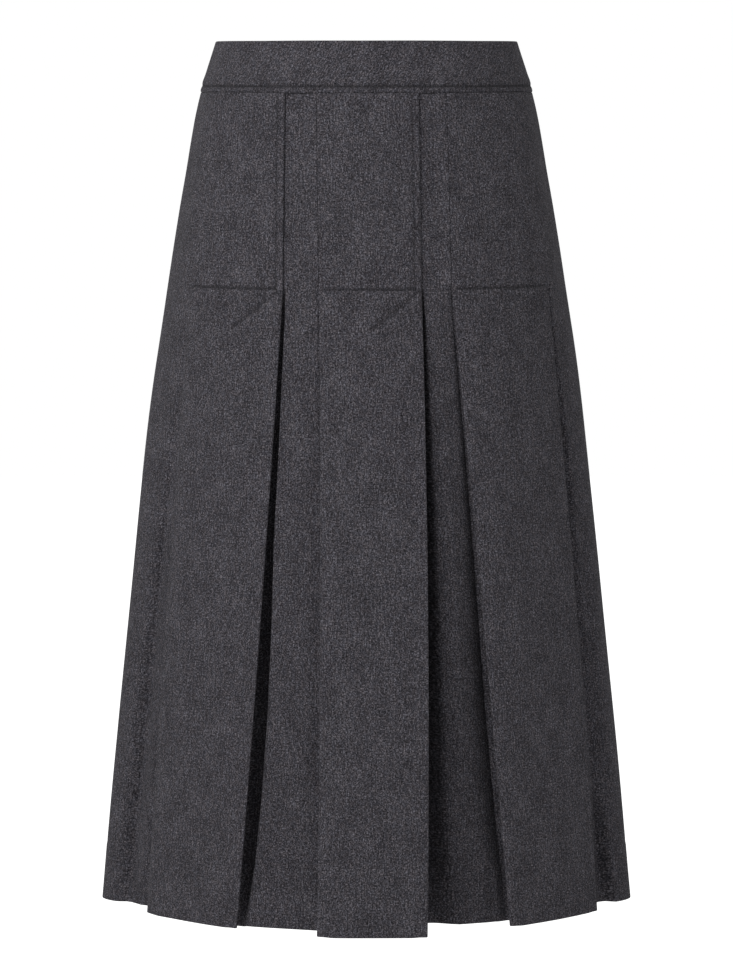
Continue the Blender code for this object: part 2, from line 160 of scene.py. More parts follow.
SIDE_HOLLOW = (
    Hollow(0.206, 0.0008, 0.0030, 0.0000),
    Hollow(0.226, 0.0010, 0.0052, 0.0042),
    Hollow(0.330, 0.0010, 0.0080, 0.0052),
    Hollow(0.480, 0.0008, 0.0085, 0.0040),
    Hollow(0.640, 0.0008, 0.0110, 0.0040),
    Hollow(0.725, 0.0060, 0.0130, 0.0105),
    Hollow(0.750, 0.0070, 0.0140, 0.0090),
)
SLIGHT_SLANT = (
    Hollow(0.206, 0.0, 0.0040, 0.0000),
    Hollow(0.225, 0.0, 0.0070, 0.0024),
    Hollow(0.600, 0.0, 0.0100, 0.0034),
    Hollow(0.750, 0.0, 0.0100, 0.0024),
)
DEEP_SLANT = (
    Hollow(0.206, 0.0, 0.0050, 0.0000),
    Hollow(0.235, 0.0, 0.0085, 0.0028),
    Hollow(0.330, 0.0, 0.0110, 0.0040),
    Hollow(0.430, 0.0, 0.0175, 0.0068),
    Hollow(0.560, 0.0, 0.0260, 0.0115),
    Hollow(0.650, 0.0, 0.0230, 0.0098),
    Hollow(0.710, 0.0, 0.0160, 0.0050),
    Hollow(0.750, 0.0, 0.0120, 0.0026),
)
SIDE_SLANT = (
    Hollow(0.280, 0.0010, 0.0060, 0.0000),
    Hollow(0.400, 0.0020, 0.0080, 0.0024),
    Hollow(0.500, 0.0040, 0.0120, 0.0056),
    Hollow(0.600, 0.0045, 0.0150, 0.0076),
    Hollow(0.720, 0.0045, 0.0160, 0.0078),
    Hollow(0.750, 0.0045, 0.0160, 0.0064),
)

# The cloth between panels: the floors of the pleats and the two sides. before and after are the
# panels it is sewn under. Above the hip line the cloth is pressed up level with the panel beside
# it where a flush share says so.
Floor = namedtuple(
    "Floor", "nodes before after first_flush second_flush hollow slant"
)
FLOORS = (
    Floor(("front_underlay_right",), 0, 1, 0.0, 0.85, SHARP_HOLLOW, SLIGHT_SLANT),
    Floor(("front_underlay_left",), 1, 2, 0.0, 0.97, SOFT_HOLLOW, DEEP_SLANT),
    Floor(("side_front_left", "side_back_left"), 2, 3, 1.0, 1.0, SIDE_HOLLOW, SIDE_SLANT),
    Floor(("back_underlay_left",), 3, 4, 0.0, 0.90, SHARP_HOLLOW, DEEP_SLANT),
    Floor(("back_underlay_right",), 4, 5, 0.0, 0.95, SOFT_HOLLOW, SLIGHT_SLANT),
    Floor(("side_back_right", "side_front_right"), 5, 0, 1.0, 1.0, SIDE_HOLLOW, SIDE_SLANT),
)

# Soft creases, each from one place to another on a piece. The shares run across the piece from
# its first fold to its second; a height over nil is a ridge and under nil a trough.
Crease = namedtuple(
    "Crease", "node share_from level_from share_to level_to height half_width"
)
CREASES = (
    Crease("front_panel_right", 0.10, 0.078, 0.62, 0.096, -0.0006, 0.0050),
    Crease("front_panel_right", 0.30, 0.262, 0.72, 0.330, 0.0009, 0.0100),
    Crease("front_panel_right", 0.62, 0.300, 0.50, 0.560, -0.0007, 0.0110),
    Crease("front_panel_right", 0.20, 0.420, 0.30, 0.735, 0.0006, 0.0100),
    Crease("front_panel_centre", 0.55, 0.120, 0.95, 0.140, -0.0005, 0.0045),
    Crease("front_panel_centre", 0.21, 0.338, 0.98, 0.372, -0.0006, 0.0042),
    Crease("front_panel_centre", -0.05, 0.381, 0.84, 0.374, -0.0005, 0.0040),
    Crease("front_panel_centre", 0.35, 0.250, 0.30, 0.560, 0.0008, 0.0140),
    Crease("front_panel_centre", 0.72, 0.420, 0.66, 0.740, -0.0007, 0.0120),
    Crease("front_panel_left", 0.27, 0.234, 0.55, 0.248, -0.0007, 0.0028),
    Crease("front_panel_left", 0.45, 0.070, 0.92, 0.088, -0.0006, 0.0048),
    Crease("front_panel_left", 0.34, 0.280, 0.26, 0.610, 0.0008, 0.0120),
    Crease("front_panel_left", 0.70, 0.360, 0.78, 0.720, -0.0007, 0.0110),
    Crease("front_underlay_left", 0.00, 0.2085, 0.90, 0.2005, -0.0009, 0.0022),
    Crease("front_underlay_left", 0.50, 0.215, 0.48, 0.740, 0.0026, 0.0060),
    Crease("front_underlay_left", 0.80, 0.690, 0.84, 0.770, -0.0016, 0.0030),
    Crease("front_underlay_right", 0.50, 0.215, 0.52, 0.420, 0.0016, 0.0060),
    Crease("front_underlay_right", 0.86, 0.300, 0.88, 0.700, -0.0018, 0.0045),
    Crease("side_front_left", 0.085, 0.400, 0.085, 0.800, -0.0030, 0.0085),
    Crease("side_front_left", 0.30, 0.240, 0.24, 0.560, 0.0014, 0.0140),
    Crease("side_front_left", 0.72, 0.300, 0.78, 0.690, -0.0018, 0.0160),
    Crease("side_back_right", 0.66, 0.250, 0.72, 0.600, 0.0015, 0.0150),
    Crease("side_back_right", 0.28, 0.320, 0.22, 0.700, -0.0018, 0.0150),
    Crease("back_panel_left", 0.35, 0.270, 0.42, 0.600, 0.0008, 0.0120),
    Crease("back_panel_left", 0.70, 0.330, 0.64, 0.700, -0.0007, 0.0100),
    Crease("back_panel_centre", 0.10, 0.352, 0.86, 0.366, -0.0005, 0.0042),
    Crease("back_panel_centre", 0.38, 0.260, 0.34, 0.640, 0.0008, 0.0130),
    Crease("back_panel_right", 0.40, 0.245, 0.66, 0.300, 0.0008, 0.0090),
    Crease("back_panel_right", 0.30, 0.330, 0.24, 0.690, -0.0007, 0.0110),
    Crease("back_underlay_left", 0.52, 0.216, 0.50, 0.720, 0.0018, 0.0055),
    Crease("back_underlay_right", 0.55, 0.216, 0.50, 0.730, 0.0018, 0.0060),
)


# ---------------------------------------------------------------- the figure


def unit(vectors):
    return vectors / np.linalg.norm(vectors, axis=-1, keepdims=True)


def blend(start, end, share):
    return start + (end - start) * share


def soft_step(low, high, value):
    share = np.clip((value - low) / (high - low), 0, 1)
    return share * share * (3 - 2 * share)


def hump(value, half_width):
    """1 at nil, falling softly to 0 on both sides."""
    return np.exp(-((value / half_width) ** 2))


def smooth_rows(rows, at):
    """A table's columns at a level, on a smooth curve through its rows."""
    table = np.array(rows, float)
    levels = table[:, 0]
    slopes = np.gradient(table[:, 1:], levels, axis=0)
    index = int(np.clip(np.searchsorted(levels, at) - 1, 0, len(levels) - 2))
    span = levels[index + 1] - levels[index]
    t = (at - levels[index]) / span
    before, after = table[index, 1:], table[index + 1, 1:]
    return (
        before * (1 + 2 * t) * (1 - t) ** 2
        + slopes[index] * span * t * (1 - t) ** 2
        + after * t * t * (3 - 2 * t)
        + slopes[index + 1] * span * t * t * (t - 1)
    )


def on_figure(level, angles, out):
    """Points of one level, moved out square to the figure's surface."""
    sines, cosines = np.sin(angles), np.cos(angles)
    half_width, front, back = smooth_rows(RINGS, level)
    rise = (smooth_rows(RINGS, level + 0.002) - smooth_rows(RINGS, level - 0.002)) / 0.004
    depth = np.where(cosines > 0, front, back)
    deepening = np.where(cosines > 0, rise[1], rise[2])
    flat = np.zeros_like(sines)
    points = np.stack([half_width * sines, -depth * cosines, flat - level], -1)
    around = np.stack([half_width * cosines, depth * sines, flat], -1)
    down = np.stack([rise[0] * sines, -deepening * cosines, flat - 1], -1)
    return points + unit(np.cross(down, around)) * np.asarray(out)[..., None]


def fold_angle(panel, fold, level):
    share = (level - WAISTBAND_DEPTH) / (HIP_LINE - WAISTBAND_DEPTH)
    across = blend(fold.waist_x, fold.hip_x, share)
    angle = math.asin(across / (smooth_rows(RINGS, level)[0] + PANEL_PROUD))
    return angle if panel.front else math.pi - angle


def inner_angle(panel, fold, other, level):
    return blend(fold_angle(panel, fold, level), fold_angle(panel, other, level), RETURN_REACH)


def hem_point(panel, across, depth):
    return np.array([across, -depth if panel.front else depth, -LENGTH])


def ruled(hip_points, hem_points, bows, level):
    """Points on straight lines from hip to hem, bowed sideways on the way."""
    share = (level - HIP_LINE) / (LENGTH - HIP_LINE)
    points = blend(hip_points, hem_points, share)
    points[:, 0] += bows * 4 * share * (1 - share)
    return points


# ---------------------------------------------------------------- rows of cloth


def face_row(panel, shares, level):
    """The panel's outer face between its two folds."""
    first, second = panel.first, panel.second
    top = min(level, HIP_LINE)
    start, end = fold_angle(panel, first, top), fold_angle(panel, second, top)
    hip = on_figure(top, blend(start, end, shares), np.full(len(shares), PANEL_PROUD))
    if level <= HIP_LINE:
        return hip
    start = hem_point(panel, first.hem_x, first.hem_depth)
    end = hem_point(panel, second.hem_x, second.hem_depth)
    outward = unit(np.cross(end - start, (0, 0, 1)))
    bulge = panel.hem_bulge * 4 * shares * (1 - shares)
    hem = start + np.outer(shares, end - start) + np.outer(bulge, outward)
    return ruled(hip, hem, blend(first.bow_x, second.bow_x, shares), level)


def return_row(panel, fold, other, shares, level):
    """The return under a fold, from the fold to the inner fold."""
    top = min(level, HIP_LINE)
    drop = PANEL_PROUD - FOLD_DROP
    start, end = fold_angle(panel, fold, top), inner_angle(panel, fold, other, top)
    hip = on_figure(top, blend(start, end, shares), np.full(len(shares), drop))
    if level <= HIP_LINE:
        return hip
    edge = hem_point(panel, fold.hem_x, fold.hem_depth)
    beyond = hem_point(panel, other.hem_x, other.hem_depth)
    inward = unit(np.cross(beyond - edge, (0, 0, 1)))
    if inward @ edge > 0:
        inward = -inward
    start = edge + inward * FOLD_DROP
    end = hem_point(panel, fold.inner_x, fold.inner_depth)
    hem = start + np.outer(shares, end - start)
    return ruled(hip, hem, np.full(len(shares), fold.bow_x), level)


def turn(before, before_way, after, after_way, count):
    """The round turn of a fold between a face and its return."""
    reach = FOLD_RADIUS * 4 / 3
    t = np.linspace(0, 1, count + 2)[1:-1, None]
    first, second = before + before_way * reach, after + after_way * reach
    return (
        before * (1 - t) ** 3
        + first * 3 * (1 - t) ** 2 * t
        + second * 3 * (1 - t) * t * t
        + after * t**3
    )


def sewn_edge(panel, fold):
    """Where a floor's edge lies at the hem, just inside the inner fold."""
    edge = hem_point(panel, fold.inner_x, fold.inner_depth)
    return edge - unit(edge * (1, 1, 0)) * INNER_SEAM_GAP


# A panel's face rolls back towards its first fold below the hip line
FOLD_ROLL = 0.0030
FOLD_ROLL_REACH = 0.0056

# How far a side's cloth laps over the panel beside it above the hip line
FLUSH_OVER = 0.00006

# The part of a floor that lies hidden under the panel at either end, as a share of its width
HIDDEN = 0.21


def floor_row(floor, shares, level):
    """Across a floor or a side, from the inner fold of one panel to that of the next."""
    before, after = PANELS[floor.before], PANELS[floor.after]
    top = min(level, HIP_LINE)
    start = inner_angle(before, before.second, before.first, top)
    leave = fold_angle(before, before.second, top)
    reach = fold_angle(after, after.first, top)
    end = inner_angle(after, after.first, after.second, top)
    if end < start:
        end, reach = end + math.tau, reach + math.tau
    angles = np.interp(shares, (0, HIDDEN, 1 - HIDDEN, 1), (start, leave, reach, end))
    hip = on_figure(top, angles, np.zeros(len(shares)))
    if level <= HIP_LINE:
        return hip
    start, end = sewn_edge(before, before.second), sewn_edge(after, after.first)
    bows = blend(before.second.bow_x, after.first.bow_x, shares)
    u = shares[:, None]
    if len(floor.nodes) == 1:
        return ruled(hip, blend(start, end, u), bows, level)
    way = math.copysign(1, start[0])
    half_width = RINGS[-1].half_width
    nose_x = (8 * way * half_width - start[0] - end[0]) / 6
    nose = np.array([nose_x, -way * HEM_NOSE, -LENGTH])
    hem = (
        start * (1 - u) ** 3
        + nose * 3 * (1 - u) ** 2 * u
        + nose * (1, -1, 1) * 3 * (1 - u) * u * u
        + end * u**3
    )
    row = ruled(hip, hem, bows, level)
    share = (level - HIP_LINE) / (LENGTH - HIP_LINE)
    straight = blend(smooth_rows(RINGS, HIP_LINE)[0], half_width, share)
    swell = smooth_rows(RINGS, level)[0] - straight
    row[:, 0] += way * swell * np.sin(math.pi * shares) ** 2
    return row


def row_width(points):
    return float(np.linalg.norm(np.diff(points, axis=0), axis=1).sum())


def row_places(points):
    """How far along a row each of its points lies."""
    steps = np.linalg.norm(np.diff(points, axis=0), axis=1)
    return np.concatenate([[0], np.cumsum(steps)])


# ---------------------------------------------------------------- relief of the cloth

# Heights and half widths of what stitching does to cloth, in metres
GROOVE_DEPTH = 0.00062
EDGE_LINE_SHARE = 0.5
LINE_BLEND = 0.0015
PUCKER = 0.00016
HIP_PUCKER = 0.00018
EDGE_PUCKER_WIDTH = 0.0040
HIP_PUCKER_WIDTH = 0.0050
TACK_PUCKER_WIDTH = 0.0045

# A soft ridge along a line of stitching, and how far it lies away from the line. A height under
# nil is a dip. The tack's puff rises over its own distance away instead.
Ridge = namedtuple("Ridge", "height away half_width")
EDGE_RIDGE = Ridge(0.00034, 0.0052, 0.0030)
UPPER_HIP_RIDGE = Ridge(0.00030, -0.0050, 0.0030)
LOWER_HIP_RIDGE = Ridge(0.00110, 0.0066, 0.0062)
TACK_PUFF = Ridge(0.00290, 0.0060, 0.0190)
HEM_PRINT = 0.00022
HEM_EDGE = 0.0012
HEM_DIP = Ridge(-0.00012, -0.0016, 0.0016)
SEAM_DIP = Ridge(-0.00034, 0, 0.0011)
SEAM_TURNING = Ridge(0.00014, 0.0048, 0.0030)
BAND_DIP = Ridge(-0.00060, 0, GROOVE)
BAND_RIDGE = Ridge(0.00036, 0.0045, 0.0035)
BAND_PUCKER = Ridge(0.00012, 0, 0.0040)
SLACK_DROP = 0.08

# How strongly a pleat's slanting tack shows, where it is hidden or slight; elsewhere in full.
TACK_STRENGTHS = {"front_panel_left": 0.12, "back_panel_left": 0.5}

# Slow unevenness of hanging cloth: how many times as fast as the slowest wave, and its height
WAVES = ((1, 0.00050), (2, 0.00030), (3, 0.00016))
WAVE_DOWN = 9
WAVE_ACROSS = 31


def ridge(shape, beyond):
    return shape.height * hump(beyond - shape.away, shape.half_width)


def along_line(place, level, start, end):
    """How far along a line, as a share, each point lies, and how far to its lower side."""
    run, fall = end[0] - start[0], end[1] - start[1]
    length = np.hypot(run, fall)
    across, down = place - start[0], level - start[1]
    share = (across * run + down * fall) / length**2
    aside = (down * run - across * fall) / length
    return share, aside, length


def creased(node, place, level, width):
    """The soft creases of one piece."""
    relief = np.zeros(np.broadcast(place, level).shape)
    for crease in CREASES:
        if crease.node != node:
            continue
        start = (crease.share_from * width, crease.level_from)
        end = (crease.share_to * width, crease.level_to)
        share, aside, _ = along_line(place, level, start, end)
        fading = np.sin(math.pi * np.clip(share, 0, 1)) ** 0.8
        relief = relief + crease.height * fading * hump(aside, crease.half_width)
    return relief


def waves(place, level, seed):
    """Slow, shallow unevenness of hanging cloth."""
    relief = 0
    for count, height in WAVES:
        turn_by = seed * 1.7 + count * 2.1
        down = np.sin(level * WAVE_DOWN * count + turn_by)
        relief = relief + height * down * np.sin(place * WAVE_ACROSS * count + turn_by * 1.3)
    return relief


def tack_line(place, level, width):
    """The slanting tack that holds a pleat's second fold below the hip line."""
    start = (width - 0.0012, HIP_LINE + 0.0005)
    end = (width - TACK_ACROSS, HIP_LINE + TACK_DOWN)
    return along_line(place, level, start, end)


def on_tack(share):
    """1 along the tack and nil beyond its two ends."""
    return soft_step(-0.02, 0.03, share) * (1 - soft_step(0.96, 1.06, share))


def within_folds(low, high, place, width):
    """Nil at both folds of a piece and 1 away from them."""
    return soft_step(low, high, place) * soft_step(low, high, width - place)


def above_hip(level):
    return 1 - soft_step(HIP_LINE - LINE_BLEND, HIP_LINE + LINE_BLEND, level)


def panel_lines(panel, place, level, width):
    """The grooves that stitching pulls into a panel: 1 along a line and nil away from it."""
    above = above_hip(level)
    lines = within_folds(0.0030, 0.0056, place, width) * hump(level - HIP_LINE, GROOVE)
    for fold, away in ((panel.first, place), (panel.second, width - place)):
        if fold.stitched:
            lines = lines + EDGE_LINE_SHARE * above * hump(away - EDGE_STITCH, GROOVE)
    share, aside, _ = tack_line(place, level, width)
    strength = TACK_STRENGTHS.get(panel.node, 1)
    return np.minimum(lines + strength * (1 - above) * on_tack(share) * hump(aside, GROOVE), 1)


def panel_relief(panel, place, level, width):
    """How far the cloth of a panel's face stands out at a place across it and a level."""
    seed = PANELS.index(panel)
    above = above_hip(level)
    below = 1 - above
    relief = -GROOVE_DEPTH * panel_lines(panel, place, level, width)
    for fold, away in ((panel.first, place), (panel.second, width - place)):
        if not fold.stitched:
            continue
        beyond = away - EDGE_STITCH
        pucker = np.sin(level * 505 + 2.2 * np.sin(level * 83 + seed))
        relief = relief + above * (
            PUCKER * pucker * hump(beyond, EDGE_PUCKER_WIDTH) + ridge(EDGE_RIDGE, beyond)
        )
    beyond = level - HIP_LINE
    pucker = np.sin(place * 470 + 2.0 * np.sin(place * 71 + seed))
    relief = relief + within_folds(0.0040, 0.0066, place, width) * (
        HIP_PUCKER * pucker * hump(beyond, HIP_PUCKER_WIDTH)
        + above * ridge(UPPER_HIP_RIDGE, beyond)
        + below * ridge(LOWER_HIP_RIDGE, beyond)
    )
    share, aside, length = tack_line(place, level, width)
    fade = soft_step(-0.10, 0.10, share) * (1 - soft_step(0.80, 1.25, share))
    lower = np.maximum(-aside, 0)
    pucker = np.sin(share * length * 480 + seed)
    puff = TACK_PUFF.height * soft_step(0, TACK_PUFF.away, lower) * hump(lower, TACK_PUFF.half_width)
    relief = relief + TACK_STRENGTHS.get(panel.node, 1) * below * (
        PUCKER * on_tack(share) * pucker * hump(aside, TACK_PUCKER_WIDTH) + fade * puff
    )
    relief = relief + hem_print(level) + creased(panel.node, place, level, width)
    slack = soft_step(HIP_LINE, HIP_LINE + SLACK_DROP, level)
    hanging = within_folds(0, 0.0300, place, width) * (0.35 + slack)
    return within_folds(0, 0.0030, place, width) * relief + hanging * waves(place, level, seed)


def hem_print(level):
    """The edge of the turned-up hem, which shows faintly through the cloth."""
    beyond = level - (LENGTH - HEM_DEPTH)
    raised = HEM_PRINT * soft_step(-HEM_EDGE, HEM_EDGE, beyond)
    return raised + ridge(HEM_DIP, beyond)


# How far under a panel a floor has begun to fall
UNDER_PANEL = 0.016


def fallen(floor, place, far, level):
    """How deep a floor falls into its hollow and down its slant."""
    inner, outer, depth = fall_at(floor.hollow, level)
    hollow = depth * soft_step(-UNDER_PANEL, -0.003, place) * (1 - soft_step(inner, outer, place))
    inner, outer, depth = fall_at(floor.slant, level)
    risen = np.clip((far - inner) / (outer - inner), 0, 1)
    slant = depth * soft_step(-UNDER_PANEL, 0, far) * (1 - risen) ** 2
    return hollow + slant


def fall_at(rows, level):
    """A hollow's inner distance, outer distance and depth at a level."""
    levels, *columns = zip(*rows)
    return [np.interp(level, levels, column) for column in columns]


def floor_relief(floor, place, level, width):
    """How far a floor's or a side's cloth stands out of its plain surface."""
    above = 1 - soft_step(HIP_LINE - 0.006, HIP_LINE + 0.001, level)
    far = width - place
    is_side = len(floor.nodes) == 2
    easing = 0.040 if is_side else 0.013
    low, high = (-0.0030, -0.0013) if is_side else (0.0001, 0.0006)
    shown = within_folds(low, high, place, width)
    if is_side:
        above = 1 - soft_step(HIP_LINE - 0.004, HIP_LINE + 0.030, level)
    first = floor.first_flush * (1 - soft_step(0.001, easing, place))
    second = floor.second_flush * (1 - soft_step(0.001, easing, far))
    relief = above * shown * (PANEL_PROUD + FLUSH_OVER * is_side) * np.maximum(first, second)
    relief = relief - fallen(floor, place, far, level)
    slack = soft_step(HIP_LINE, HIP_LINE + SLACK_DROP, level)
    hanging = within_folds(0, 0.012, place, width) * (0.3 + slack)
    relief = relief + hanging * waves(place, level, floor.before + 9)
    creases = creased(floor.nodes[0], place, level, width)
    return relief + hem_print(level) + within_folds(0, 0.002, place, width) * creases


# ---------------------------------------------------------------- shells


def normals_of(grid):
    """Outward normals of a grid of rows that run down the cloth and columns round the body."""
    down = np.gradient(grid, axis=0)
    around = np.gradient(grid, axis=1)
    return unit(np.cross(down, around))


ROUND_STEPS = 3


def shell(name, outer, wall, across, finish, lines=0.0):
    """A closed sheet from its outer face: inner face, rounded top and bottom, square ends.

    Every point keeps the cloth's own place, across and down in metres, for the weave, and how deep
    it lies in a groove of stitching, where the cloth's colour is darkened, partly for crushed nap
    and partly as painted shade.
    """
    rows, columns = outer.shape[:2]
    normals = normals_of(outer)
    wall = np.broadcast_to(wall, (rows, columns))[..., None]
    inner = outer - normals * wall
    ends = []
    for row, way in ((-1, 1), (0, -1)):
        along = unit(outer[row] - outer[row - way]) * wall[row] / 2
        middle = (outer[row] + inner[row]) / 2
        side = normals[row] * wall[row] / 2
        turns = np.linspace(0, math.pi, ROUND_STEPS + 2)[1:-1]
        arc = [middle + way * side * math.cos(a) + along * math.sin(a) for a in turns]
        ends.append(np.array(arc))
    points = np.concatenate([outer, ends[0], inner[::-1], ends[1]])
    spread = all_round(across)
    grooves = all_round(np.broadcast_to(lines, (rows, columns)))
    count = len(points)
    index = np.arange(count * columns).reshape(count, columns)
    after = np.roll(index, -1, axis=0)
    faces = np.stack([index[:, :-1], after[:, :-1], after[:, 1:], index[:, 1:]], -1)
    faces = faces.reshape(-1, 4).tolist()
    for column, way in ((0, 1), (columns - 1, -1)):
        ring = index[:, column]
        near = ring[:rows]
        far = ring[rows + ROUND_STEPS:2 * rows + ROUND_STEPS][::-1]
        for a, b, c, d in zip(near, near[1:], far[1:], far):
            faces.append([a, d, c, b][::way])
        for first, last in ((rows - 1, rows + ROUND_STEPS), (2 * rows + ROUND_STEPS - 1, count)):
            cap = [ring[spot % count] for spot in range(first, last + 1)]
            faces.append(cap[::-way])
    mesh = bpy.data.meshes.new(name)
    mesh.from_pydata(points.reshape(-1, 3).tolist(), [], faces)
    place = np.stack([spread, -points[..., 2], grooves], -1)
    keep = mesh.attributes.new("cloth_place", "FLOAT_VECTOR", "POINT")
    keep.data.foreach_set("vector", place.reshape(-1).astype(np.float32))
    return finished(name, mesh, finish, 60)


def all_round(values):
    """The outer face's values, carried round the sheet's bottom, inner face and top."""
    bottom, top = np.repeat(values[-1:], ROUND_STEPS, 0), np.repeat(values[:1], ROUND_STEPS, 0)
    return np.concatenate([values, bottom, values[::-1], top])


def finished(name, mesh, finish, sharp_from):
    mesh.shade_smooth()
    mesh.set_sharp_from_angle(angle=math.radians(sharp_from))
    mesh.materials.append(finish)
    made = bpy.data.objects.new(name, mesh)
    bpy.context.scene.collection.objects.link(made)
    return made


def hang(piece, nodes, body="skirt"):
    """Puts a piece on its body, in the place of the plain solids that it stands for."""
    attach(piece, body)
    if nodes:
        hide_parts(*nodes)
    return piece


def cut_size(outer, hem):
    """The flat cut of a piece: its greatest width, its length and its area, with its hem."""
    widths = [row_width(row) for row in outer]
    middle = outer[:, outer.shape[1] // 2]
    length = row_width(middle)
    areas = np.array(widths[1:]) / 2 + np.array(widths[:-1]) / 2
    steps = np.linalg.norm(np.diff(middle, axis=0), axis=1)
    area = float((areas * steps).sum()) + hem * widths[-1]
    return max(widths), length + hem, area


def declare(outer, hem=0.0):
    width, length, area = cut_size(outer, hem)
    area = min(area, width * length)


# ---------------------------------------------------------------- levels and columns

SKIRT_LEVELS = np.unique(np.round(np.concatenate([
    np.linspace(SKIRT_TOP, 0.2035, 68),
    np.linspace(0.2045, 0.2135, 10),
    np.linspace(0.2155, 0.2500, 20),
    np.linspace(0.2560, 0.6960, 75),
    np.linspace(0.6990, 0.7050, 6),
    np.linspace(0.7080, LENGTH, 14),
]), 6))

# Distances from a fold at which the cloth has a column, to follow the fold and its stitching
NEAR_FOLD = np.array([
    0.0000, 0.0008, 0.0018, 0.0030, 0.0042, 0.0050, 0.0056, 0.0062, 0.0068, 0.0074, 0.0084,
    0.0100, 0.0120,
])
NEAR_PANEL = np.array([
    0.0002, 0.0005, 0.0009, 0.0014, 0.0019, 0.0024, 0.0030, 0.0037, 0.0045, 0.0055, 0.0068,
    0.0084, 0.0105,
])
NEAR_SEAM = np.array([0.0000, 0.0006, 0.0013, 0.0022, 0.0034, 0.0050])
FACE_MIDDLE = 34
RETURN_COLUMNS = 9
TURN_COLUMNS = 5
HIDDEN_COLUMNS = 7
ROW_SAMPLES = 57
FLOOR_MIDDLE = 12
SIDE_MIDDLE = 48
FLOOR_WIDTH = 0.028
SIDE_WIDTH = 0.150


# ---------------------------------------------------------------- the panels


def face_width(panel, level):
    return row_width(face_row(panel, np.linspace(0, 1, 33), level))


def hem_wall(level, away):
    """The cloth's thickness: one layer, and two where the hem is turned up."""
    turned = soft_step(LENGTH - HEM_DEPTH - 0.0006, LENGTH - HEM_DEPTH + 0.0006, level)
    return CLOTH * (1 + turned * soft_step(0.006, 0.014, away))


def panel_row(panel, level):
    """Across a panel with both returns: points, relief, wall, the cloth's place and grooves."""
    width = face_width(panel, level)
    near = FOLD_RADIUS + NEAR_FOLD
    middle = np.linspace(near[-1], width - near[-1], FACE_MIDDLE + 1)[1:-1]
    places = np.concatenate([near, middle, width - near[::-1]])
    face = face_row(panel, places / width, level)
    returns = []
    for fold, other in ((panel.first, panel.second), (panel.second, panel.first)):
        reach = row_width(return_row(panel, fold, other, np.linspace(0, 1, 5), level))
        shares = np.linspace(FOLD_RADIUS / reach, 1, RETURN_COLUMNS)
        returns.append(return_row(panel, fold, other, shares, level))
    first, second = returns
    start = turn(
        first[0], unit(first[0] - first[1]), face[0], unit(face[0] - face[1]), TURN_COLUMNS
    )
    end = turn(
        face[-1], unit(face[-1] - face[-2]), second[0], unit(second[0] - second[1]), TURN_COLUMNS
    )
    out = np.array([0, -1 if panel.front else 1, 0])
    rolled = -FOLD_ROLL * soft_step(HIP_LINE, HIP_LINE + 0.02, level) * out
    face = face + rolled * np.exp(-(places - FOLD_RADIUS) / FOLD_ROLL_REACH)[:, None]
    start = start + rolled
    first = first + rolled * np.linspace(1, 0, RETURN_COLUMNS)[:, None]
    row = np.concatenate([first[::-1], start, face, end, second])
    lead = RETURN_COLUMNS + TURN_COLUMNS
    plain = np.zeros(lead)
    relief = panel_relief(panel, places, level, width)
    wall = hem_wall(level, np.minimum(places, width - places))
    across = row_places(row)
    across = across - (across[lead] + across[-lead - 1]) / 2
    return (
        row,
        np.concatenate([plain, relief, plain]),
        np.concatenate([plain + CLOTH, wall, plain + CLOTH]),
        across,
        np.concatenate([plain, panel_lines(panel, places, level, width), plain]),
    )


def panel_spot(panel, place, level):
    """A point of the finished face, and the way out of the cloth there."""
    width = face_width(panel, level)
    beside = 0.0008
    row = face_row(panel, np.array([place - beside, place, place + beside]) / width, level)
    lower = face_row(panel, np.array([place / width]), level + beside)[0]
    out = unit(np.cross(lower - row[1], row[2] - row[0]))
    return row[1] + out * panel_relief(panel, place, level, width), out


def make_panel(panel, cloth, thread):
    rows = [panel_row(panel, level) for level in SKIRT_LEVELS]
    plain, relief, wall, across, lines = (np.array(column) for column in zip(*rows))
    outer = plain + normals_of(plain) * relief[..., None]
    grain = across + (PANELS.index(panel) + 1) * 0.9
    name = panel.node.replace("panel", "pleat")
    piece = hang(shell(name, outer, wall, grain, cloth, lines), [panel.node])
    stitching = hang(
        stitches(panel.node.replace("panel", "stitching"), panel_seams(panel), thread),
        [],
    )
    declare(plain, HEM_DEPTH)


# ---------------------------------------------------------------- floors and sides


def seam_share(floor):
    return SIDE_SEAM_SHARE if floor.before == 2 else 1 - SIDE_SEAM_SHARE


def floor_shares(floor):
    """The columns of a floor as shares of its width, closer together beside the folds."""
    is_side = len(floor.nodes) == 2
    near = NEAR_PANEL / (SIDE_WIDTH if is_side else FLOOR_WIDTH)
    count = SIDE_MIDDLE if is_side else FLOOR_MIDDLE
    middle = np.linspace(near[-1], 1 - near[-1], count + 1)[1:-1]
    shown = np.concatenate([[0], near, middle, 1 - near[::-1], [1]])
    hidden = np.linspace(0, HIDDEN, HIDDEN_COLUMNS)[:-1]
    shares = np.concatenate([hidden, HIDDEN + shown * (1 - 2 * HIDDEN), 1 - hidden[::-1]])
    if not is_side:
        return [shares]
    seam = seam_share(floor)
    beside = NEAR_SEAM * (1 - 2 * HIDDEN) / SIDE_WIDTH
    before = shares[shares < seam - beside[-1] * 1.3]
    after = shares[shares > seam + beside[-1] * 1.3]
    return [
        np.concatenate([before, seam - beside[::-1]]),
        np.concatenate([seam + beside, after]),
    ]


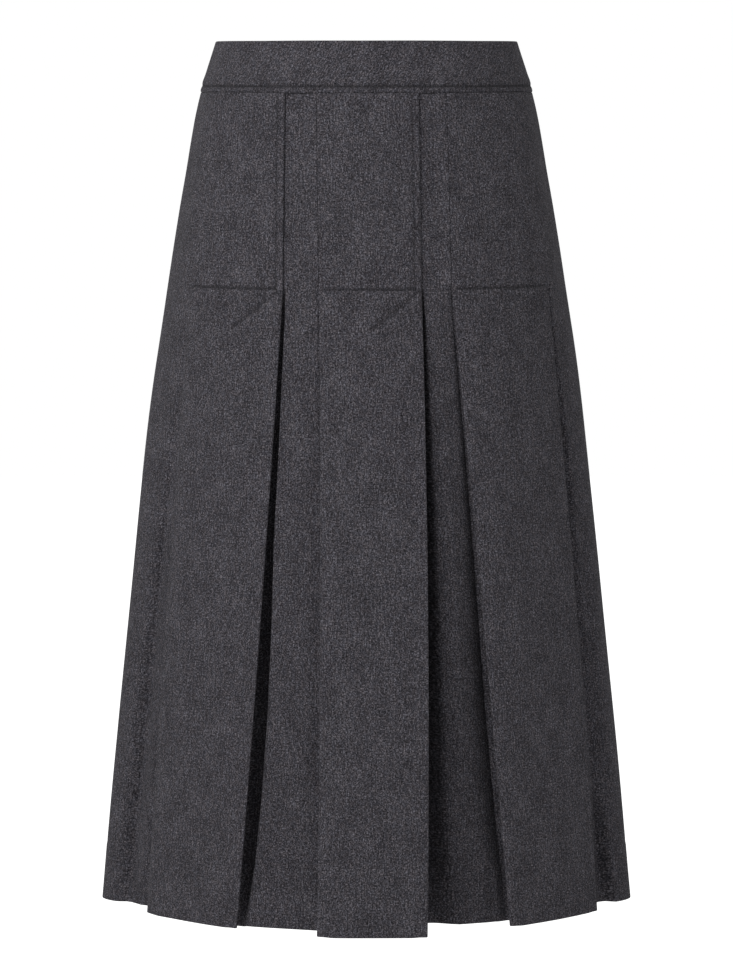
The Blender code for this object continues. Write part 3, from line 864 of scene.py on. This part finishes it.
def floor_grid(floor, shares):
    """A floor's points, relief, wall and place across, level by level."""
    plain, relief, wall, across = [], [], [], []
    samples = np.linspace(0, 1, ROW_SAMPLES)
    for level in SKIRT_LEVELS:
        row = floor_row(floor, shares, level)
        whole = row_places(floor_row(floor, samples, level))
        place = np.interp(shares, samples, whole)
        start, end = np.interp((HIDDEN, 1 - HIDDEN), samples, whole)
        raised = floor_relief(floor, place - start, level, end - start)
        if len(floor.nodes) == 2:
            seam = np.interp(seam_share(floor), samples, whole)
            raised = raised + seam_relief(np.abs(place - seam), level)
        plain.append(row)
        relief.append(raised)
        wall.append(hem_wall(level, np.minimum(place, whole[-1] - place) * 0.5))
        across.append(place - whole[-1] / 2)
    return (np.array(values) for values in (plain, relief, wall, across))


def seam_relief(away, level):
    """The pressed seam at a side: its edges roll in, and the turnings show beside it."""
    pucker = np.sin(level * 390 + 1.6 * np.sin(level * 57))
    return ridge(SEAM_DIP, away) + (1 + 0.5 * pucker) * ridge(SEAM_TURNING, away)


def make_floor(floor, cloth):
    for part, (node, shares) in enumerate(zip(floor.nodes, floor_shares(floor))):
        plain, relief, wall, across = floor_grid(floor, shares)
        outer = plain + normals_of(plain) * relief[..., None]
        if len(floor.nodes) == 2:
            column, way = (-1, -1) if part == 0 else (0, 1)
            inward = unit(outer[:, column + way] - outer[:, column])
            outer[:, column] += inward * SEAM_GAP / 2
        name = node.replace("underlay", "pleat_floor").replace("side", "side_cloth")
        grain = across + (floor.before + 1) * 1.3 + 6
        piece = hang(shell(name, outer, wall, grain, cloth), [node])
        declare(plain, HEM_DEPTH)


# ---------------------------------------------------------------- the waistband


def band_relief(angles, level):
    """The stiff band: its topstitching, and the slight unevenness of pressed cloth."""
    beyond = WAISTBAND_DEPTH - level - BAND_STITCH
    pucker = np.sin(angles * 62 + 2.3 * np.sin(angles * 9))
    uneven = 0.00030 * np.sin(angles * 5 + level * 60) * np.sin(level * 90 + angles * 3)
    return (
        ridge(BAND_DIP, beyond) + ridge(BAND_RIDGE, beyond)
        + pucker * ridge(BAND_PUCKER, beyond) + uneven
    )


def band_row(angles, level):
    proud = blend(WAISTBAND_PROUD_FRONT, WAISTBAND_PROUD_SIDE, np.sin(angles) ** 2)
    return on_figure(level, angles, proud)


def band_spot(angle, level):
    beside = 0.004
    row = band_row(np.array([angle - beside, angle, angle + beside]), level)
    lower = band_row(np.array([angle]), level + 0.0005)[0]
    out = unit(np.cross(lower - row[1], row[2] - row[0]))
    return row[1] + out * band_relief(angle, level), out


BAND_COLUMNS = 150
BAND_LEVELS = np.concatenate([
    np.linspace(WAISTBAND_WALL / 2, 0.0335, 18),
    np.linspace(0.0345, WAISTBAND_DEPTH - WAISTBAND_WALL / 2, 13),
])


def make_waistband(cloth, thread):
    slit = WAISTBAND_SLIT / 2 / RINGS[1].back_depth
    seam = WAISTBAND_SEAM / 2 / RINGS[1].back_depth
    for node, start, end, seed in (
        ("waistband_front", -SEAM_ANGLE + seam, SEAM_ANGLE - slit, 11),
        ("waistband_back", SEAM_ANGLE + slit, math.tau - SEAM_ANGLE - seam, 12),
    ):
        angles = np.linspace(start, end, BAND_COLUMNS)
        plain = np.array([band_row(angles, level) for level in BAND_LEVELS])
        relief = np.array([band_relief(angles, level) for level in BAND_LEVELS])
        outer = plain + normals_of(plain) * relief[..., None]
        across = np.array([row_places(row) for row in outer]) + seed
        name = node.replace("waistband", "band")
        line = hump(WAISTBAND_DEPTH - BAND_STITCH - BAND_LEVELS, GROOVE)[:, None]
        piece = shell(name, outer, WAISTBAND_WALL, across, cloth, line)
        hang(piece, [node])
        name = node.replace("waistband", "band_stitching")
        row = band_seam(start + seam * 2, end - seam * 2)
        stitching = hang(stitches(name, row, thread), [])
        declare(plain, 0.0)


# ---------------------------------------------------------------- stitches


def spaced(start, end, pitch=STITCH_PITCH):
    """The middles of the stitches that fit between two places."""
    count = max(int((end - start) / pitch), 1)
    return start + (np.arange(count) + 0.5) * (end - start) / count


def panel_seams(panel):
    """Each stitch of a panel as its two ends, its middle and the way out of the cloth."""
    half = STITCH_LENGTH / 2
    found = []
    for fold in (panel.first, panel.second):
        if not fold.stitched:
            continue
        for level in spaced(SKIRT_TOP + 0.001, HIP_LINE):
            spots = []
            for at in (level - half, level, level + half):
                far = face_width(panel, at) - EDGE_STITCH
                spots.append(panel_spot(panel, EDGE_STITCH if fold is panel.first else far, at))
            found.append(spots)
    width = face_width(panel, HIP_LINE)
    start = EDGE_STITCH if panel.first.stitched else 0.003
    end = width - (EDGE_STITCH if panel.second.stitched else 0.003)
    for place in spaced(start, end):
        found.append([panel_spot(panel, at, HIP_LINE) for at in (place - half, place, place + half)])
    length = math.hypot(TACK_ACROSS, TACK_DOWN)
    for along in spaced(0.004, length):
        spots = []
        for at in (along - half, along, along + half):
            level = HIP_LINE + TACK_DOWN * at / length
            place = face_width(panel, level) - TACK_ACROSS * at / length
            spots.append(panel_spot(panel, place, level))
        found.append(spots)
    return found


def band_seam(start, end):
    level = WAISTBAND_DEPTH - BAND_STITCH
    radius = RINGS[2].half_width * 0.82
    half = STITCH_LENGTH / 2 / radius
    return [
        [band_spot(at, level) for at in (angle - half, angle, angle + half)]
        for angle in spaced(start, end, STITCH_PITCH / radius)
    ]


THREAD_SIDES = 6
THREAD_STATIONS = ((0.0, 0.35), (0.18, 0.92), (0.5, 1.0), (0.82, 0.92), (1.0, 0.35))


def stitches(name, seams, finish):
    """Short rounded threads that dip into the cloth at both ends, as one mesh."""
    spots = np.array([[spot for spot, _ in seam] for seam in seams])
    out = np.array([seam[1][1] for seam in seams])
    start, middle, end = spots[:, 0], spots[:, 1], spots[:, 2]
    start, end = start - out * THREAD * 0.7, end - out * THREAD * 0.7
    knee = 2 * (middle + out * THREAD * 0.7) - (start + end) / 2
    aside = np.cross(unit(end - start), out)
    turns = np.linspace(0, math.tau, THREAD_SIDES + 1)[:-1]
    rings = []
    for t, thickness in THREAD_STATIONS:
        centre = start * (1 - t) ** 2 + knee * 2 * t * (1 - t) + end * t * t
        for a in turns:
            rings.append(centre + THREAD * thickness * (aside * math.cos(a) + out * math.sin(a)))
    points = np.stack(rings, 1)
    one = np.arange(points.shape[1]).reshape(len(THREAD_STATIONS), THREAD_SIDES)
    beside = np.roll(one, -1, axis=1)
    quads = np.stack([one[:-1], beside[:-1], beside[1:], one[1:]], -1).reshape(-1, 4)
    faces = []
    for number in range(len(points)):
        base = number * points.shape[1]
        faces += (quads + base).tolist()
        faces += [(one[0, ::-1] + base).tolist(), (one[-1] + base).tolist()]
    mesh = bpy.data.meshes.new(name)
    mesh.from_pydata(points.reshape(-1, 3).tolist(), [], faces)
    return finished(name, mesh, finish, 70)


# ---------------------------------------------------------------- the zip

ZIP_TOP = 0.022
ZIP_LENGTH = 0.215
ZIP_TAPE_WIDTH = 0.024
TAPE_WALL = 0.0007
SLIDER_LEVEL = 0.013
PULL_PIVOT_HEIGHT = 0.0016
PULL_THICKNESS = 0.0010
PULL_WIDTH = 0.0052
PULL_LENGTH = 0.0220
PULL_WINDOW = (0.0022, 0.0040)
PULL_EDGE = 0.00018
PULL_CORNER = 0.0006
PULL_SHOULDER = 0.0050
PULL_WAIST = 0.0085
PULL_WAIST_SHARE = 0.72
PULL_FOOT_RISE = 0.0050
PULL_FOOT_STEPS = 24
COIL_PITCH = 0.0014
COIL_RADIUS = 0.0016
COIL_WIRE = 0.0003
COIL_END = 0.006
COIL_STEPS = 8
COIL_DEPTH = 0.0009
COIL_RISE = 0.0006
FRAME_DROP = 0.008
FRAME_TURN = 0.02


def tape_inset(level):
    under_band = WAISTBAND_WALL - WAISTBAND_PROUD_SIDE + SEAM_GAP
    under_skirt = LAYER + 0.0004
    return blend(under_band, under_skirt, soft_step(0.040, 0.052, level))


def make_zip_tape(finish, coil_look):
    levels = np.linspace(ZIP_TOP, ZIP_LENGTH, 90)
    rows, across = [], []
    for level in levels:
        reach = ZIP_TAPE_WIDTH / 2 / smooth_rows(RINGS, level)[2]
        angles = np.linspace(SEAM_ANGLE - reach, SEAM_ANGLE + reach, 17)
        fold = 0.0004 * hump((angles - SEAM_ANGLE) / reach, 0.18)
        rows.append(on_figure(level, angles, -tape_inset(level) - fold))
        across.append(np.linspace(-ZIP_TAPE_WIDTH / 2, ZIP_TAPE_WIDTH / 2, 17))
    grid = np.array(rows)
    piece = shell("zip_tapes", grid, TAPE_WALL, np.array(across), finish)
    hang(piece, ["zip_tape"])
    coil = hang(make_coil(coil_look), [])


def make_coil(finish):
    """The zip's coil along the middle of its tapes, on the wearer's side, as one long wire."""
    wire = bpy.data.curves.new("zip_coil", "CURVE")
    wire.dimensions = "3D"
    wire.bevel_depth = COIL_WIRE
    wire.bevel_resolution = 1
    wire.use_fill_caps = True
    spline = wire.splines.new("POLY")
    points = []
    turns = int((ZIP_LENGTH - ZIP_TOP - 2 * COIL_END) / COIL_PITCH)
    for step in range(turns * COIL_STEPS):
        level = ZIP_TOP + COIL_END + step / COIL_STEPS * COIL_PITCH
        a = math.tau * step / COIL_STEPS
        depth = tape_inset(level) + TAPE_WALL + COIL_DEPTH
        beside = COIL_RADIUS * math.sin(a) / smooth_rows(RINGS, level)[2]
        out = np.array([-depth + COIL_RISE * math.cos(a)])
        points.append(on_figure(level, np.array([SEAM_ANGLE + beside]), out)[0])
    spline.points.add(len(points) - 1)
    for control, point in zip(spline.points, points):
        control.co = (*point, 1)
    return solid_of("zip_coil", wire, Matrix.Identity(4), finish, 40)


def solid_of(name, curve, matrix, finish, sharp_from):
    """A mesh piece from a curve, moved to its place."""
    drawn = bpy.data.objects.new(name + "_curve", curve)
    bpy.context.scene.collection.objects.link(drawn)
    graph = bpy.context.evaluated_depsgraph_get()
    mesh = bpy.data.meshes.new_from_object(drawn.evaluated_get(graph))
    bpy.data.objects.remove(drawn, do_unlink=True)
    mesh.transform(matrix)
    mesh.materials.clear()
    return finished(name, mesh, finish, sharp_from)


def pull_outline():
    """The pull seen flat: a rounded top bar, straight sides and a fuller round foot."""
    half = PULL_WIDTH / 2
    waist = half * PULL_WAIST_SHARE
    top = PULL_THICKNESS / 2
    foot = top - PULL_LENGTH + half
    points = [(-half + PULL_CORNER, top), (-half, top - PULL_CORNER), (-half, -PULL_SHOULDER)]
    points += [(-waist, -PULL_WAIST), (-waist, foot + PULL_FOOT_RISE)]
    for index in range(PULL_FOOT_STEPS + 1):
        angle = math.pi + math.pi * index / PULL_FOOT_STEPS
        points.append((half * math.cos(angle), foot + half * math.sin(angle)))
    return points + [(-x, z) for x, z in points[4::-1]]


def pull_window():
    """The hole under the top bar that the slider's plate stands in."""
    width, height = PULL_WINDOW
    top = -PULL_THICKNESS / 2
    corners = ((-width / 2, top), (width / 2, top))
    return corners + ((width / 2, top - height), (-width / 2, top - height))


def seam_frame(level, out):
    """The zip's frame on the waistband: X out of the cloth, Z up along its slope."""

    def spot(angle, at):
        return Vector(band_row(np.array([angle]), at)[0])

    upper, lower = spot(SEAM_ANGLE, level - FRAME_DROP), spot(SEAM_ANGLE, level + FRAME_DROP)
    before, after = spot(SEAM_ANGLE - FRAME_TURN, level), spot(SEAM_ANGLE + FRAME_TURN, level)
    up, around = (upper - lower).normalized(), (after - before).normalized()
    outward = around.cross(up).normalized()
    made = Matrix((outward, around, outward.cross(around))).transposed().to_4x4()
    made.translation = spot(SEAM_ANGLE, level) + outward * out
    return made


def make_pull(finish):
    outline = bpy.data.curves.new("zip_pull_tab", "CURVE")
    outline.dimensions = "2D"
    outline.fill_mode = "BOTH"
    outline.bevel_depth = PULL_EDGE
    outline.bevel_resolution = 2
    outline.offset = -PULL_EDGE
    outline.extrude = PULL_THICKNESS / 2 - PULL_EDGE
    for points in (pull_outline(), pull_window()):
        spline = outline.splines.new("POLY")
        spline.points.add(len(points) - 1)
        for control, (x, z) in zip(spline.points, points):
            control.co = (x, z, 0, 1)
        spline.use_cyclic_u = True
    # The outline's across, up and thickness become the zip's round, up and out
    stand_up = Matrix(((0, 0, 1, 0), (1, 0, 0, 0), (0, 1, 0, 0), (0, 0, 0, 1)))
    surface = seam_frame(SLIDER_LEVEL, PULL_PIVOT_HEIGHT)
    pull = solid_of("zip_pull_tab", outline, surface @ stand_up, finish, 35)
    hang(pull, ["zip_pull"], "zip_pull")


# ---------------------------------------------------------------- finishes


class Socket:
    """A node's output that joins in sums; each sum adds its Math node."""

    def __init__(self, finish, output):
        self.finish, self.output = finish, output

    def math(self, operation, *values):
        return self.finish.node("Math", {"operation": operation}, dict(enumerate(values)))

    def __add__(self, other):
        return self.math("ADD", self, other)

    def __radd__(self, other):
        return self.math("ADD", other, self)

    def __sub__(self, other):
        return self.math("SUBTRACT", self, other)

    def __rsub__(self, other):
        return self.math("SUBTRACT", other, self)

    def __mul__(self, other):
        return self.math("MULTIPLY", self, other)

    def __rmul__(self, other):
        return self.math("MULTIPLY", other, self)

    def __pow__(self, other):
        return self.math("POWER", self, other)

    def sine(self):
        return self.math("SINE", self)

    def clamped(self):
        return self.math("MAXIMUM", self.math("MINIMUM", self, 1.0), 0.0)


class Finish:
    """A material being put together on its Principled surface."""

    def __init__(self, name):
        self.material = bpy.data.materials.new(name)
        self.material.use_nodes = True
        self.tree = self.material.node_tree
        self.surface = self.tree.nodes["Principled BSDF"]

    def node(self, kind, settings=None, inputs=None, output=0):
        """Adds a node: its settings first, then the values or links of its sockets."""
        made = self.tree.nodes.new("ShaderNode" + kind)
        for setting, value in (settings or {}).items():
            if setting == "stops":
                self.set_stops(made.color_ramp, value)
            else:
                setattr(made, setting, value)
        for socket, value in (inputs or {}).items():
            self.feed(made.inputs[socket], value)
        return Socket(self, made.outputs[output])

    def feed(self, socket, value):
        if isinstance(value, Socket):
            self.tree.links.new(value.output, socket)
        else:
            socket.default_value = value

    def set_stops(self, ramp, stops):
        while len(ramp.elements) < len(stops):
            ramp.elements.new(0.5)
        for element, (place, colour) in zip(ramp.elements, stops):
            element.position = place
            element.color = (*colour, 1)

    def set(self, **values):
        """Sets the surface's own sockets; spaces in their names are written as underscores."""
        for name, value in values.items():
            self.feed(self.surface.inputs[name.replace("_", " ")], value)

    def place(self):
        """The cloth's own place, across and down in metres."""
        return self.node("Attribute", {"attribute_name": "cloth_place"}, output="Vector")

    def grown(self, vector, across, down, deep=1.0):
        """A place counted in features of a given size."""
        scale = (1 / across, 1 / down, 1 / deep)
        return self.node("VectorMath", {"operation": "MULTIPLY"}, {0: vector, 1: scale})

    def noise(self, vector, detail=2.0, roughness=0.5, distortion=0.0):
        return self.node(
            "TexNoise", {"noise_dimensions": "2D"},
            {"Vector": vector, "Scale": 1.0, "Detail": detail, "Roughness": roughness,
             "Distortion": distortion},
        )

    def mixed(self, share, first, second, blend_type="MIX"):
        """Two colours mixed."""
        return self.node(
            "Mix", {"data_type": "RGBA", "blend_type": blend_type},
            {0: share, 6: first, 7: second}, output=2,
        )

    def bump(self, height, distance, strength=1.0):
        return self.node("Bump", {}, {"Height": height, "Distance": distance,
                                      "Strength": strength})


FLANNEL_DARK = (0.0062, 0.0058, 0.0070)
FLANNEL_MIDDLE = (0.0394, 0.0372, 0.0430)
FLANNEL_LIGHT = (0.2010, 0.1920, 0.2130)
# How far stitching grooves are darkened towards the darkest fibre: partly the nap crushed by the
# stitch, partly painted shade of the groove
GROOVE_NAP_AND_SHADE = 0.62


def flannel():
    """Charcoal melange wool: dark and pale fibres milled together, with a soft short nap."""
    cloth = Finish("charcoal_wool_flannel")
    place = cloth.place()
    fibres = cloth.noise(cloth.grown(place, 0.00106, 0.00122), 2.0, 0.60, 0.5)
    tufts = cloth.noise(cloth.grown(place, 0.0018, 0.0022), 1.0, 0.55, 0.6)
    streaks = cloth.noise(cloth.grown(place, 0.0012, 0.0100), 1.0, 0.5)
    clouds = cloth.noise(cloth.grown(place, 0.017, 0.030), 2.0, 0.5)
    tone = fibres * 0.92 + tufts * 0.24 + streaks * 0.22 + clouds * 0.11 - 0.245
    colour = cloth.node("ValToRGB", {"stops": (
        (0.25, FLANNEL_DARK), (0.50, FLANNEL_MIDDLE), (0.80, FLANNEL_LIGHT),
    )}, {0: tone})
    hue = cloth.noise(cloth.grown(place, 0.0040, 0.0050), 1.0)
    warm = ((hue - 0.50) * 3.0 + 0.5).clamped()
    tinted = cloth.mixed(warm, (0.975, 0.990, 1.035, 1), (1.035, 0.995, 0.990, 1))
    colour = cloth.mixed(1.0, colour, tinted, "MULTIPLY")
    across = cloth.node("SeparateXYZ", {}, {0: place})
    down = cloth.node("SeparateXYZ", {}, {0: place}, output=1)
    groove = cloth.node("SeparateXYZ", {}, {0: place}, output=2)
    # Painted shade, together with crushed nap: the colour darkens along the stitching grooves
    colour = cloth.mixed(groove * GROOVE_NAP_AND_SHADE, colour, (*FLANNEL_DARK, 1))
    twill = ((across + down) * (math.tau / 0.00085)).sine()
    nap = fibres * 0.75 + tufts * 0.35
    normal = cloth.bump(nap + twill * 0.045, 0.00045)
    cloth.set(Base_Color=colour, Roughness=0.96 - tone * 0.10, Normal=normal)
    cloth.set(Specular_IOR_Level=0.15, Sheen_Weight=0.03, Sheen_Roughness=0.6)
    return cloth.material


def thread_finish():
    """Polyester sewing thread a shade darker than the cloth, with its twist."""
    thread = Finish("charcoal_thread")
    place = thread.node("TexCoord", {}, {}, output="Object")
    grain = thread.node("TexNoise", {}, {"Vector": place, "Scale": 2600.0, "Detail": 1.0})
    colour = thread.mixed(grain, (0.010, 0.010, 0.012, 1), (0.036, 0.035, 0.040, 1))
    thread.set(Base_Color=colour, Roughness=0.62, Normal=thread.bump(grain, 0.00008))
    thread.set(Specular_IOR_Level=0.3)
    return thread.material


def tape_finish():
    """The zip's tape: fine ribs of black polyester."""
    tape = Finish("zip_tape_weave")
    place = tape.place()
    across = tape.node("SeparateXYZ", {}, {0: place})
    down = tape.node("SeparateXYZ", {}, {0: place}, output=1)
    weave = (across * (math.tau / 0.00075)).sine() * (down * (math.tau / 0.0006)).sine()
    share = (weave * 0.5 + 0.5).clamped()
    colour = tape.mixed(share, (0.018, 0.018, 0.021, 1), (0.040, 0.039, 0.044, 1))
    tape.set(Base_Color=colour, Roughness=0.80, Normal=tape.bump(share, 0.00010))
    return tape.material


def coil_finish():
    """The zip's coil: smooth black nylon."""
    coil = Finish("zip_coil_nylon")
    place = coil.node("TexCoord", {}, {}, output="Object")
    grain = coil.node("TexNoise", {}, {"Vector": place, "Scale": 900.0, "Detail": 1.0})
    colour = coil.mixed(grain, (0.016, 0.016, 0.018, 1), (0.030, 0.030, 0.033, 1))
    coil.set(Base_Color=colour, Roughness=0.42)
    return coil.material


def metal_finish():
    """Dark lacquered zip metal, rubbed a little brighter in places."""
    metal = Finish("zip_dark_metal")
    place = metal.node("TexCoord", {}, {}, output="Object")
    rub = metal.node("TexNoise", {}, {"Vector": place, "Scale": 420.0, "Detail": 3.0})
    fine = metal.node("TexNoise", {}, {"Vector": place, "Scale": 2400.0, "Detail": 2.0})
    worn = ((rub - 0.52) * 5.0).clamped()
    colour = metal.mixed(worn, (0.050, 0.050, 0.054, 1), (0.160, 0.158, 0.160, 1))
    metal.set(Base_Color=colour, Roughness=0.26 + fine * 0.22, Metallic=0.9)
    metal.set(Normal=metal.bump(fine, 0.00003))
    return metal.material


# ---------------------------------------------------------------- putting it together


def make_skirt():
    cloth, thread = flannel(), thread_finish()
    make_waistband(cloth, thread)
    for panel in PANELS:
        make_panel(panel, cloth, thread)
    for floor in FLOORS:
        make_floor(floor, cloth)
    make_zip_tape(tape_finish(), coil_finish())
    metal = metal_finish()
    make_pull(metal)
    slider = bpy.data.objects["zip_slider"]
    slider.data.materials.clear()
    slider.data.materials.append(metal)


make_skirt()

# ---------------------------------------------------------------- studio

FLOOR_LEVEL = -1.04
STUDIO_RADIUS = 7.0
AIM = (0, 0, -0.35)
CAMERA_DISTANCE = 4.0
CAMERA_DIP = 5.559
CAMERA_LENS = 169.5
WORLD_STRENGTH = 0.48


def white(name, base, glow):
    finish = Finish(name)
    finish.set(Base_Color=(base, base, base, 1), Roughness=0.9, Specular_IOR_Level=0.1)
    finish.set(Emission_Color=(1, 1, 1, 1), Emission_Strength=glow)
    return finish.material


def make_studio():
    """A pale floor and a white dome that only shows and doesn't light the cloth."""
    bpy.ops.mesh.primitive_circle_add(
        vertices=96, radius=STUDIO_RADIUS, fill_type="NGON", location=(0, 0, FLOOR_LEVEL)
    )
    floor = bpy.context.object
    floor.name = "studio_floor"
    floor.data.materials.append(white("studio_floor_white", 0.8, 0.85))
    floor.visible_diffuse = False
    floor.visible_glossy = False
    bpy.ops.mesh.primitive_uv_sphere_add(
        segments=64, ring_count=32, radius=STUDIO_RADIUS + 0.2, location=(0, 0, 0)
    )
    dome = bpy.context.object
    dome.name = "studio_dome"
    dome.data.materials.append(white("studio_dome_white", 0.0, 1.0))
    dome.visible_diffuse = False
    dome.visible_glossy = False
    dome.visible_shadow = False


def area_light(name, place, size, power):
    """A soft rectangular lamp that faces the middle of the skirt; its power is in watts."""
    data = bpy.data.lights.new(name, "AREA")
    data.shape = "RECTANGLE"
    data.size, data.size_y = size
    data.energy = power
    light = bpy.data.objects.new(name, data)
    bpy.context.scene.collection.objects.link(light)
    light.location = place
    light.rotation_euler = (Vector(AIM) - Vector(place)).to_track_quat("-Z", "Y").to_euler()


def light_and_camera():
    scene = bpy.context.scene
    scene.view_settings.view_transform = "Standard"
    area_light("key", (-1.00, -1.6, 0.5), (0.8, 1.0), 22.5)
    area_light("fill", (2.4, -2.4, 0.4), (1.2, 1.4), 7)
    world = bpy.data.worlds.new("studio")
    world.use_nodes = True
    world.node_tree.nodes["Background"].inputs["Color"].default_value = (1, 1, 1, 1)
    world.node_tree.nodes["Background"].inputs["Strength"].default_value = WORLD_STRENGTH
    scene.world = world
    data = bpy.data.cameras.new("camera")
    data.lens = CAMERA_LENS
    camera = bpy.data.objects.new("camera", data)
    scene.collection.objects.link(camera)
    camera.location = (0, -CAMERA_DISTANCE, 0)
    camera.rotation_euler = (math.radians(90 - CAMERA_DIP), 0, 0)
    scene.camera = camera


make_studio()
light_and_camera()
